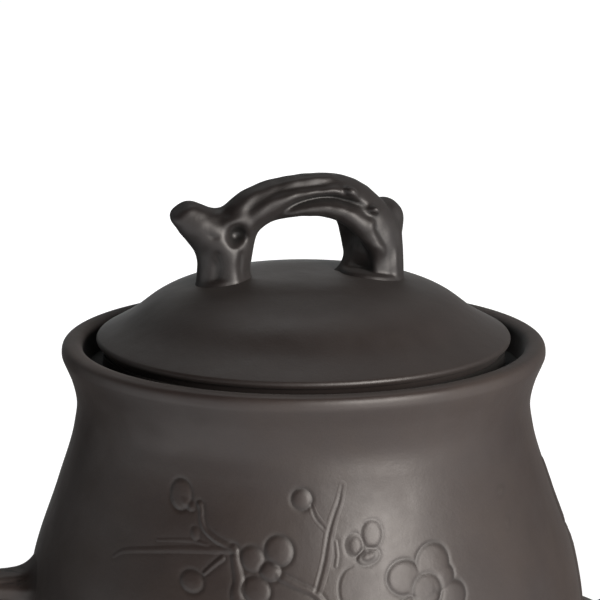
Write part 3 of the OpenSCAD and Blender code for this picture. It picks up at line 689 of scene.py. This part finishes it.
def tube(room, stations, bark=None):
    """Distance to a tube through stations (x, y, z, half thickness, half width) in mm."""
    line = smooth_route(stations, TUBE_STEPS)
    field = np.full([len(a) for a in room["axes"]], FAR, np.float32)
    run = 0.0
    for i in range(len(line) - 1):
        a, b = line[i], line[i + 1]
        reach = max(a[3:].max(), b[3:].max()) + TUBE_MARGIN
        low = np.minimum(a[:3], b[:3]) - reach
        high = np.maximum(a[:3], b[:3]) + reach
        window = tuple(slice(*np.searchsorted(axis, (lo, hi)))
                       for axis, lo, hi in zip(room["axes"], low, high))
        if min(part.stop - part.start for part in window) < 1:
            continue
        x, y, z = room_points(room, window)
        way = b[:3] - a[:3]
        long = np.linalg.norm(way)
        along = way / long
        lateral = SIDEWAYS - along * np.dot(SIDEWAYS, along)
        lateral /= np.linalg.norm(lateral)
        upward = np.cross(along, lateral)
        px, py, pz = x - a[0], y - a[1], z - a[2]
        t = np.clip((px * along[0] + py * along[1] + pz * along[2]) / long, 0, 1)
        qx, qy, qz = px - t * way[0], py - t * way[1], pz - t * way[2]
        thick = a[3] + t * (b[3] - a[3])
        wide = a[4] + t * (b[4] - a[4])
        qs = (qx * lateral[0] + qy * lateral[1] + qz * lateral[2]) / wide
        qu = (qx * upward[0] + qy * upward[1] + qz * upward[2]) / thick
        qt = (qx * along[0] + qy * along[1] + qz * along[2]) / np.maximum(thick, wide)
        rho = np.sqrt(qs**2 + qu**2 + qt**2) + 1e-6
        d = np.sqrt(qx**2 + qy**2 + qz**2) * (1 - 1 / rho)
        if bark:
            d = d - bark(run + t * long, np.arctan2(qu, qs))
        field[window] = np.minimum(field[window], d)
        run += long
    return field


def melt(a, b, softness):
    """Two lumps of clay joined with a soft valley between them."""
    h = np.clip(0.5 + 0.5 * (b - a) / softness, 0, 1)
    return b + (a - b) * h - softness * h * (1 - h)


def carve(a, b, softness):
    """Lump a with lump b taken out of it."""
    return -melt(-a, b, softness)


def bark_of(seed, waves):
    """Ridges along a branch: waves are (height in mm, ridges round, mm per turn of the ridge)."""
    draw = np.random.default_rng(seed)
    phase = draw.uniform(0, 2 * math.pi, (len(waves), 2))

    def bark(run, turn):
        out = 0.0
        for (height, count, pitch), (p, q) in zip(waves, phase):
            bend = BARK_BEND * np.sin(run / pitch * BARK_BEND_RATE + q)
            wave = np.sin(count * turn + 2 * math.pi * run / pitch + p + bend)
            out = out + height * (wave - BARK_SHARPNESS * np.abs(wave))
        return out

    return bark


SKIN_SMOOTHING = 2
HOLLOW_GRID = 2
HOLLOW_STROKES = 12
HOLLOW_DEPTH = 0.25


def sponge(field, strokes):
    """The clay wiped with a sponge: each stroke softens its edges and creases a little more."""
    for _ in range(strokes):
        for axis in range(3):
            edge = np.pad(field, [(1, 1) if k == axis else (0, 0) for k in range(3)], mode="edge")
            parts = [slice(None)] * 3
            parts[axis] = slice(2, None)
            after = edge[tuple(parts)]
            parts[axis] = slice(None, -2)
            field = 0.5 * field + 0.25 * (edge[tuple(parts)] + after)
    return field


def clay_skin(name, room, field, strokes):
    """The skin of the wiped clay as a closed mesh in metres, with painted shade where it is hollow.
    """
    field = sponge(field.astype(np.float32), strokes)
    block = openvdb.FloatGrid(FAR)
    block.copyFromArray(field)
    points, quads = block.convertToQuads(isovalue=0)
    quads = quads.astype(np.int64)
    for _ in range(SKIN_SMOOTHING):
        total = np.zeros_like(points)
        count = np.zeros(len(points))
        for k in range(4):
            for other in ((k + 1) % 4, (k + 3) % 4):
                np.add.at(total, quads[:, k], points[quads[:, other]])
                np.add.at(count, quads[:, k], 1)
        points = 0.5 * points + 0.5 * total / count[:, None]
    # A point is hollow where clay that was wiped far more would cover it; there the clay gets
    # painted shade
    wide = sponge(field[::HOLLOW_GRID, ::HOLLOW_GRID, ::HOLLOW_GRID], HOLLOW_STROKES)
    near = np.clip(np.round(points / HOLLOW_GRID).astype(int), 0, np.array(wide.shape) - 1)
    hollow = -wide[near[:, 0], near[:, 1], near[:, 2]] / HOLLOW_DEPTH
    points = (points * room["step"] + room["low"]) * MM
    a, b, c = (points[quads[:, k]] for k in (0, 1, 2))
    if np.einsum("ij,ij->i", a, np.cross(b, c)).sum() < 0:
        quads = quads[:, ::-1]
    thing = dab_mesh(name, points, quads)
    paint_shade(thing, hollow)
    return thing


def plane(room, point, normal):
    """Distance past a flat cut, positive on the side that is cut off."""
    x, y, z = room_points(room)
    n = np.array(normal, float) / np.linalg.norm(normal)
    return (x - point[0]) * n[0] + (y - point[1]) * n[1] + (z - point[2]) * n[2]


def wall_distance(room):
    """Distance in mm outside the turned wall."""
    x, y, z = room_points(room)
    return np.hypot(x, y) - smooth_curve(OUTLINE, z * MM) / MM


SMEAR_THICK = 0.8
SMEAR_OVERLAP = 0.3


def luted(clay, body, sink, softness):
    """The clay smeared out where it is luted to a body, whose skin hides the smear's edge."""
    smear = melt(clay, body + sink, softness)
    smear = np.maximum(smear, clay - softness - SMEAR_OVERLAP)
    return np.maximum(smear, -(body + sink + SMEAR_THICK))


SPOUT_BORE = [
    (52, 0, 41, 9, 9), (66.8, 0, 41, 9, 9), (77.8, 0, 43.5, 8.2, 8.8), (90.1, 0, 53.6, 6.4, 6.6),
    (99, 0, 71, 5, 5.2), (104.3, 0, 88.4, 4.3, 4.4), (107.4, 0, 105.8, 3.8, 3.9),
    (109.3, 0, 120, 3.3, 3.3), (110.6, 0, 130, 3.3, 3.3),
]
SPOUT_MOUTH = (109.3, 0, 120)
SPOUT_AIM = (1.96, 0, 14.2)
SIDE_SHOOT = [(97, -1.5, 60, 5, 5), (101, -3.5, 62.4, 4.6, 4.6), (108, -7, 67, 4, 4)]
SHOOT_CUT = (105.4, -5.6, 65.2)
SHOOT_CUT_FACE = (0.78, -0.4, 0.48)
spout_room = clay_room((50, -22, 14), (119, 22, 127), step=0.4)
spout_bark = bark_of(4, [(0.34, 3, 110), (0.22, 7, 70), (0.12, 12, 45)])
spout_field = tube(spout_room, SPOUT_ROUTE, spout_bark)
shoot_field = tube(spout_room, SIDE_SHOOT, bark_of(5, [(0.2, 5, 30)]))
shoot_end = -plane(spout_room, SHOOT_CUT, SHOOT_CUT_FACE)
shoot_field = carve(shoot_field, shoot_end, softness=0.7)
spout_field = melt(spout_field, shoot_field, softness=1.4)
spout_field = luted(spout_field, wall_distance(spout_room), sink=0.5, softness=3.5)
spout_field = carve(spout_field, -plane(spout_room, SPOUT_MOUTH, SPOUT_AIM), softness=0.8)
spout_field = carve(spout_field, tube(spout_room, SPOUT_BORE), softness=0.6)
spout = clay_skin("bough_spout", spout_room, spout_field, strokes=1)
finish_piece(spout, "pot", "body_clay", body_clay, "spout", "spout_stub")

# The handle. A bent bough of clay, flattened where the fingers go, luted to the wall at both
# ends with slip smeared out over the joints.
HANDLE_ROUTE = [
    (-65.9, 0, 66.2, 5.85, 8.9), (-71.9, 0, 66.3, 4.85, 7.5), (-79.9, 0, 66.6, 3.85, 6.5),
    (-92.9, 0, 66.2, 3.85, 6.5), (-106.5, 0, 58.5, 3.5, 6), (-110.7, 0, 47.2, 3.3, 5.5),
    (-101.9, 0, 33.7, 3.3, 5.5), (-84.9, 0, 25.6, 3.3, 5.5), (-69.5, 0, 22.6, 3.9, 6),
    (-62.5, 0, 22, 5.3, 7.5),
]
handle_room = clay_room((-118, -13, 11), (-56, 13, 79), step=0.35)
handle_bark = bark_of(8, [(0.22, 4, 80), (0.14, 9, 50)])
handle_field = tube(handle_room, HANDLE_ROUTE, handle_bark)
handle_field = luted(handle_field, wall_distance(handle_room), sink=0.5, softness=5)
handle = clay_skin("bough_handle", handle_room, handle_field, strokes=1)
finish_piece(handle, "pot", "body_clay", body_clay, "handle")

# The lid. A thrown dome with a thin, softly rounded rim, turned on the wheel and burnished,
# with one steam hole behind the knob. It lifts off and turns freely on its seat.
LID_LOW, LID_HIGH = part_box("lid_dome")
LID_REST = LID_LOW.z
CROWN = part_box("lid_dome")[1].z
RIM_HEIGHT = 3.9 * MM
RIM_ROUND = 1.1 * MM
RIM_TURN = math.radians(60)
RIM_CENTRE = (LID_HIGH.x - RIM_ROUND, LID_REST + RIM_HEIGHT - RIM_ROUND)
RIM_START = (
    RIM_CENTRE[0] + RIM_ROUND * math.cos(RIM_TURN),
    RIM_CENTRE[1] + RIM_ROUND * math.sin(RIM_TURN),
)
DOME_THICK = 3.6 * MM
DOME = [
    (CROWN, 0), (CROWN - 1 * MM, 20 * MM), (CROWN - 6.5 * MM, 38 * MM),
    (CROWN - 11 * MM, 44 * MM), (RIM_START[1], RIM_START[0]),
]
COLLAR_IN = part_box("lid_collar")[1].x - 6.6 * MM
HOLLOW_EDGE = 38 * MM
DOME_ROWS, HOLLOW_ROWS = 70, 24
RIM_IN = 1.0 * MM
STEP_IN = 0.8 * MM
STEAM_RADIUS = 1.3 * MM
STEAM_PLACE = Vector((16.4, 17, 142)) * MM
STEAM_AIM = Vector((0.15, 0.15, 1))
# The lid's clay is painted darker than the body's, as the shade on its upward face
shaded_lid_clay = fired_clay("burnished_lid_clay_with_painted_shade", (0.0185, 0.0138, 0.013), (0.030, 0.023, 0.0212), 0.47,
                      (0.027, 0.0205, 0.017), speck=0.012, rim_loss=0.4)
dome_radius = np.linspace(0, RIM_START[0], DOME_ROWS)
rim_turns = np.radians(np.arange(54, -91, -9))
hollow_radius = np.linspace(HOLLOW_EDGE, 0, HOLLOW_ROWS)
lid_radius = np.concatenate([
    dome_radius, RIM_CENTRE[0] + RIM_ROUND * np.cos(rim_turns),
    [RIM_CENTRE[0] - RIM_IN, COLLAR_IN + STEP_IN, COLLAR_IN], hollow_radius,
])
lid_height = np.concatenate([
    smooth_curve(DOME, dome_radius),
    np.maximum(RIM_CENTRE[1] + RIM_ROUND * np.sin(rim_turns), LID_REST),
    [LID_REST, LID_REST, LID_REST + STEP_IN], smooth_curve(DOME, hollow_radius) - DOME_THICK,
])
lid = turned_mesh("turned_lid", lid_radius[::-1], lid_height[::-1], PLAIN_TURNS)
close_poles(lid)
cut(lid, drill(STEAM_RADIUS, STEAM_PLACE, STEAM_AIM))
finish_piece(lid, "lid", "body_clay", shaded_lid_clay, "lid_dome")

# The knob. Two thick coils of clay are laid together as a bent bough with cut side shoots,
# a burl and a knot hole; bark is laid on and dragged, and it is luted to the lid on two feet.
BRANCH = [
    (-20.2, 0, 142.1, 7.0, 6.4), (-20.2, 0, 148.1, 6.6, 6), (-20, 0, 152.7, 6.2, 5.8),
    (-17.7, 0, 156.9, 5.6, 5.6), (-13.7, 0, 161.1, 5.2, 5.6), (-8, 0.3, 163.6, 5.1, 5.6),
    (-0.4, 0.5, 164.8, 5.1, 5.6), (6.6, 0.5, 165.0, 5.0, 5.8), (11.7, 0.6, 162.9, 5.5, 6),
    (15.2, 0.8, 158.6, 6.6, 6.4), (17.1, 1, 153.9, 7.8, 6.8), (17.8, 1.2, 148.5, 7.7, 7.2),
    (17.9, 1.2, 142.5, 7.6, 7.6),
]
UNDER_STRAND = [
    (-5.4, -2.8, 160.6, 0.9, 1.4), (-3.4, -3.5, 161.4, 1.4, 1.8), (0.3, -3.8, 162.1, 1.9, 2.3),
    (5.4, -3.8, 162.1, 2.4, 2.7), (10.4, -4, 160.6, 2.8, 3.1), (14.1, -4.2, 157.5, 2.9, 3.2),
    (16.6, -4.4, 154.3, 2.6, 2.9), (17.8, -4.6, 151.2, 1.8, 2.2), (18.2, -4.4, 148.5, 0.9, 1.2),
]
TOP_STRAND = [
    (-9, -0.6, 164.9, 1.7, 2.6), (-5, -0.9, 167.2, 1.9, 3.2), (-0.9, -1.0, 168.05, 1.9, 3.4),
    (3.1, -0.8, 168.5, 1.8, 3.2), (6.4, -0.4, 168.5, 1.7, 2.6), (10, 0, 167.0, 1.5, 2.2),
]
LEFT_SHOOT = [(-19.4, 0, 153.0, 6.6, 6.4), (-26, -0.2, 157.9, 5.2, 5.2),
              (-31.4, -0.3, 162.0, 3.4, 3.7), (-35, -0.4, 164.6, 2.7, 3.0)]
LEFT_CUT = (-31.6, -0.2, 162.2)
LEFT_CUT_FACE = (-0.63, -0.2, 0.75)
BURL = [(18.2, 2, 151, 6.3, 6.2), (19.8, 3.4, 155.4, 5.9, 5.8), (20.5, 4, 157.6, 5.5, 5.4)]
# The hollow that the thumb left between the arch and the inner side of the right foot
THUMB_HOLLOW = [(4.9, -7.7, 138, 12, 12), (4.9, -7.7, 148, 12, 12), (4.2, -8.3, 151.5, 11, 11),
                (3.2, -9, 153.5, 9.3, 9.3)]
# Bark laid on: (softness of the join, runs of (x, y, z, half thickness, half width)) in mm
BARK_RIDGES = [
    (0.8, [(-15.6, -4.2, 158, 1.6, 1.0), (-12.1, -4.3, 161.2, 2.3, 1.5),
           (-7.3, -4.3, 163.9, 2.4, 1.6), (-3.6, -4.3, 165.2, 2.3, 1.6),
           (0.2, -4.3, 165.9, 2.2, 1.6), (5.2, -4.2, 166.3, 2.0, 1.6),
           (8.2, -4.1, 166.1, 1.6, 1.4)]),
    (0.6, [(10.4, -4.6, 166.9, 0.9, 0.9), (11.4, -4.9, 166.0, 1.4, 1.4),
           (12.6, -4.9, 164.6, 0.8, 0.8)]),
    (0.5, [(15.2, -5.5, 162.2, 0.7, 0.7), (16.9, -5.7, 161.7, 1.1, 1.1),
           (18.3, -5.4, 161.1, 0.6, 0.6)]),
    (0.7, [(15.9, -6, 158.8, 0.9, 0.9), (16.1, -6.2, 157.4, 1.2, 1.2), (16.3, -6, 156, 0.8, 0.8)]),
    (0.7, [(16.8, -6.1, 152.9, 0.9, 0.9), (18.2, -6.2, 152.4, 1.1, 1.1), (19, -6, 151, 0.7, 0.7)]),
    (0.6, [(14.0, -5.8, 155.0, 0.8, 0.8), (15.3, -6.1, 154.0, 0.9, 0.9)]),
    (0.5, [(22.6, -4.2, 151, 0.5, 0.5), (22.5, -4.6, 147.5, 0.8, 0.8),
           (22.6, -4.6, 144, 0.8, 0.8)]),
    (1.6, [(14.6, 2, 148.6, 2.6, 2.6), (12.2, 2.5, 145.4, 2.6, 2.6), (9.2, 3, 142.6, 2.4, 2.4)]),
    (1.6, [(-18.8, -4.1, 152.5, 1.4, 1.4), (-18.7, -4.2, 149.5, 2.4, 2.4),
           (-18.5, -4.3, 146, 2.7, 2.7), (-18.4, -4.4, 143, 2.8, 2.8)]),
    (1.6, [(-20.4, -4.2, 156.4, 0.9, 0.9), (-19.5, -4.5, 158.2, 1.2, 1.2),
           (-17.6, -4.6, 159.2, 1.4, 1.4), (-15.2, -4.5, 158.6, 1.2, 1.2),
           (-14.4, -4.3, 156.8, 0.8, 0.8)]),
    (1.0, [(-28.6, -2.4, 159.6, 1.4, 1.4), (-25.4, -3.4, 158.4, 1.9, 1.9),
           (-22.6, -4.0, 157.2, 1.4, 1.4)]),
]
# Bark dragged or pressed in with a blunt tool
BARK_GROOVES = [
    (2.0, [(-6.2, -6.6, 161.6, 0.3, 0.7), (-4.4, -6.2, 162.7, 0.4, 1.4),
           (0.2, -5.6, 164.3, 0.55, 2.4), (5.9, -5.4, 164.8, 0.6, 2.8),
           (10.2, -5.8, 164.0, 0.55, 2.2), (13.4, -6.4, 163.0, 0.4, 1.5),
           (15.4, -6.8, 162.4, 0.25, 0.9)]),
    (2.0, [(-14.3, -5.8, 162.8, 0.7, 0.9), (-12.0, -5.7, 164.9, 1.0, 1.2),
           (-7.2, -5.5, 167.1, 1.1, 1.2), (-1.9, -5.3, 168.2, 1.1, 1.2),
           (5.4, -5.1, 168.8, 1.0, 1.1), (9.6, -4.9, 168.9, 0.6, 0.8)]),
    (0.4, [(8.6, -4.4, 168.2, 0.3, 0.3), (9.3, -5.4, 166.5, 0.5, 0.8),
           (10.0, -5.8, 164.8, 0.4, 0.6)]),
    (0.4, [(14.2, -6.6, 161.1, 0.4, 0.5), (17.2, -6.6, 160.3, 0.5, 0.7),
           (18.8, -6.2, 159.4, 0.3, 0.4)]),
    (0.6, [(17.6, -6.6, 157.2, 0.9, 0.9), (19.2, -6.6, 154.8, 1.1, 1.1),
           (21.0, -6.2, 152.2, 0.7, 0.7)]),
    (0.4, [(-18.4, -6.3, 153.7, 0.3, 0.3), (-17.4, -6.5, 154.2, 0.5, 0.5),
           (-16.7, -6.2, 153.5, 0.3, 0.3)]),
    (0.7, [(-16.4, -5.9, 151.5, 0.5, 0.5), (-16.1, -6.4, 148.5, 1.0, 1.0),
           (-15.9, -6.5, 145.6, 0.9, 0.9)]),
    (1.0, [(-22.4, -6.6, 151.4, 0.7, 0.7), (-22.7, -6.7, 148, 1.3, 1.3),
           (-22.9, -6.6, 144.8, 1.0, 1.0)]),
    (0.4, [(-24.4, -5.4, 156.3, 0.2, 0.2), (-23.4, -5.8, 155.9, 0.35, 0.35),
           (-22.4, -5.9, 155.9, 0.2, 0.2)]),
]
KNOT_HOLE = [(-17.7, -7.4, 156.6, 1.9, 1.9), (-17.4, -4.6, 156.0, 1.8, 1.8)]
# The slip round each leg: (middle, radius)
FEET = [((-20.2, -0.3), 7.0), ((17.5, 0.6), 8.1)]
SLIP_HEIGHT = 1.1
# The knob's clay is painted darker than the body's, as painted shade on the knob
knob_clay = fired_clay("burnished_knob_clay_with_painted_shade", (0.012, 0.0094, 0.0092),
                       (0.0195, 0.0156, 0.0152), 0.49, (0.017, 0.0135, 0.012))
knob_room = clay_room((-37, -14, 136), (29, 15, 172), step=0.22)


def hand_marks(room, height, length):
    """Low uneven waves that fingers leave in soft clay."""
    x, y, z = room_points(room)
    k = 2 * math.pi / length
    broad = np.sin(k * (x + 0.6 * y) + 0.7) * np.sin(k * (0.9 * z - 0.4 * x) + 1.9)
    close = np.sin(1.7 * k * (y + 0.5 * z) + 0.3) * np.sin(1.6 * k * (x - 0.3 * z))
    return height * (broad + 0.6 * close)


knob_field = tube(knob_room, BRANCH, bark_of(11, [(0.12, 3, 60), (0.06, 7, 35)]))
knob_field = carve(knob_field, tube(knob_room, THUMB_HOLLOW), softness=1.0)
knob_field = melt(knob_field, tube(knob_room, UNDER_STRAND), softness=0.8)
knob_field = melt(knob_field, tube(knob_room, TOP_STRAND), softness=0.3)
left_field = tube(knob_room, LEFT_SHOOT, bark_of(12, [(0.12, 4, 30)]))
left_field = carve(left_field, -plane(knob_room, LEFT_CUT, LEFT_CUT_FACE), softness=1.6)
knob_field = melt(knob_field, left_field, softness=2.6)
knob_field = melt(knob_field, tube(knob_room, BURL), softness=0.7)
for softness, run in BARK_RIDGES:
    knob_field = melt(knob_field, tube(knob_room, run), softness)
for softness, run in BARK_GROOVES:
    knob_field = carve(knob_field, tube(knob_room, run), softness)
knob_field = carve(knob_field, tube(knob_room, KNOT_HOLE), softness=2.6)
x, y, z = room_points(knob_room)
lid_distance = z - smooth_curve(DOME, np.hypot(x, y) * MM) / MM
for (foot_x, foot_y), foot_r in FEET:
    slip = np.hypot(x - foot_x, y - foot_y) - foot_r
    slip = carve(slip, SLIP_HEIGHT - lid_distance, softness=0.9)
    knob_field = melt(knob_field, slip, softness=0.35)
knob_field = knob_field + hand_marks(knob_room, height=0.07, length=6.5)
knob_field = luted(knob_field, lid_distance, sink=0.3, softness=0.5)
knob = clay_skin("bough_knob", knob_room, knob_field, strokes=8)
finish_piece(knob, "lid", "knob_clay", knob_clay, "knob_branch", "knob_strand", "knob_left_stub",
             "knob_right_stub", "knob_knot", "knob_left_foot", "knob_right_foot")

# The floor, the light and the camera stand in for a photo table: a white sweep in a pale room
# that gives little light, one broad soft light in front on the right and two weak ones behind.
FLOOR_SIZE = 6.0
FLOOR_COLOUR = (0.3, 0.3, 0.3, 1)
floor = dab_mesh("floor", np.array([[-1, -1, 0], [1, -1, 0], [1, 1, 0], [-1, 1, 0]]) * FLOOR_SIZE,
                 np.array([[0, 1, 2, 3]]))


def seen_rays(tree):
    """1 for what the eye sees, straight or in a shine or through glass, and 0 for light given."""
    rays = tree.nodes.new("ShaderNodeLightPath")
    seen = rays.outputs["Is Camera Ray"]
    for kind in ("Is Glossy Ray", "Is Transmission Ray"):
        seen = combined(tree, "MAXIMUM", seen, rays.outputs[kind])
    return seen


floor_paint = bpy.data.materials.new("floor_paint")
floor_paint.use_nodes = True
tree = floor_paint.node_tree
nodes, links = tree.nodes, tree.links
nodes.clear()
out = nodes.new("ShaderNodeOutputMaterial")
matt = nodes.new("ShaderNodeBsdfDiffuse")
matt.inputs["Color"].default_value = FLOOR_COLOUR
glow = nodes.new("ShaderNodeEmission")
spot = nodes.new("ShaderNodeTexCoord")
reach = nodes.new("ShaderNodeVectorMath")
reach.operation = "LENGTH"
links.new(spot.outputs["Object"], reach.inputs[0])
# Round the pot the floor glows less, so that its shadow stays to be seen
shade = spread(tree, reach.outputs["Value"], 0.15, 0.3, 0.84, 1.0)
links.new(combined(tree, "MULTIPLY", seen_rays(tree), shade), glow.inputs["Strength"])
both = nodes.new("ShaderNodeAddShader")
links.new(matt.outputs[0], both.inputs[0])
links.new(glow.outputs[0], both.inputs[1])
links.new(both.outputs[0], out.inputs["Surface"])
floor.data.materials.append(floor_paint)

LIGHT_GIVEN = 0.2
world = bpy.data.worlds.new("room")
bpy.context.scene.world = world
world.use_nodes = True
tree = world.node_tree
nodes, links = tree.nodes, tree.links
room_light = nodes["Background"]
room_light.inputs["Color"].default_value = (1, 1, 1, 1)
way = nodes.new("ShaderNodeTexCoord")
gaze = nodes.new("ShaderNodeSeparateXYZ")
links.new(way.outputs["Generated"], gaze.inputs[0])
# The room is white at eye level and dark overhead, and its left side lies in half shade
level = spread(tree, gaze.outputs["Z"], 0.1, 0.35, 1.0, 0.0)
side = spread(tree, gaze.outputs["X"], -0.95, 0.1, 0.2, 1.0)
# It is seen by the eye and in the burnish in full, but gives only part of that as light
share = combined(tree, "MAXIMUM", seen_rays(tree), LIGHT_GIVEN)
whole = combined(tree, "MULTIPLY", combined(tree, "MULTIPLY", share, level), side)
links.new(whole, room_light.inputs["Strength"])

LIGHT_SIZE = 0.6
LIGHT_DISTANCE = 1.4
LIGHT_TARGET = Vector((0, 0, 0.1))


def soft_light(name, azimuth, elevation, power, colour):
    """A square soft light that looks at the pot; azimuth 0 is in front of the relief."""
    light = bpy.data.lights.new(name, "AREA")
    light.shape = "SQUARE"
    light.size = LIGHT_SIZE
    light.energy = power
    light.color = colour
    lamp = bpy.data.objects.new(name, light)
    a, e = math.radians(azimuth), math.radians(elevation)
    aim = Vector((math.sin(a) * math.cos(e), -math.cos(a) * math.cos(e), math.sin(e)))
    lamp.location = LIGHT_TARGET + aim * LIGHT_DISTANCE
    lamp.rotation_euler = aim.to_track_quat("Z", "Y").to_euler()
    bpy.context.scene.collection.objects.link(lamp)


soft_light("key", 28, 20, 23, (1, 0.935, 0.88))
soft_light("rim", 180, 10, 5, (0.97, 1, 1))
soft_light("crown", 180, 50, 4, (0.97, 1, 1))

LOOK_AT = Vector((0, 0, 0.138))
CAMERA_TURN = math.radians(8)
CAMERA_RISE = math.radians(12.6)
CAMERA_DISTANCE = 0.8
CAMERA_SIDE = 0.88 * MM
LENS, SENSOR = 191.2, 36
camera = bpy.data.objects.new("camera", bpy.data.cameras.new("camera"))
camera.data.lens = LENS
camera.data.sensor_width = SENSOR
right = Vector((math.cos(CAMERA_TURN), -math.sin(CAMERA_TURN), 0))
back = Vector((-math.sin(CAMERA_TURN), -math.cos(CAMERA_TURN), 0))
away = back * math.cos(CAMERA_RISE) + Vector((0, 0, math.sin(CAMERA_RISE)))
camera.location = LOOK_AT - right * CAMERA_SIDE + away * CAMERA_DISTANCE
camera.rotation_euler = away.to_track_quat("Z", "Y").to_euler()
bpy.context.scene.collection.objects.link(camera)
bpy.context.scene.camera = camera
bpy.context.scene.view_settings.view_transform = "Standard"
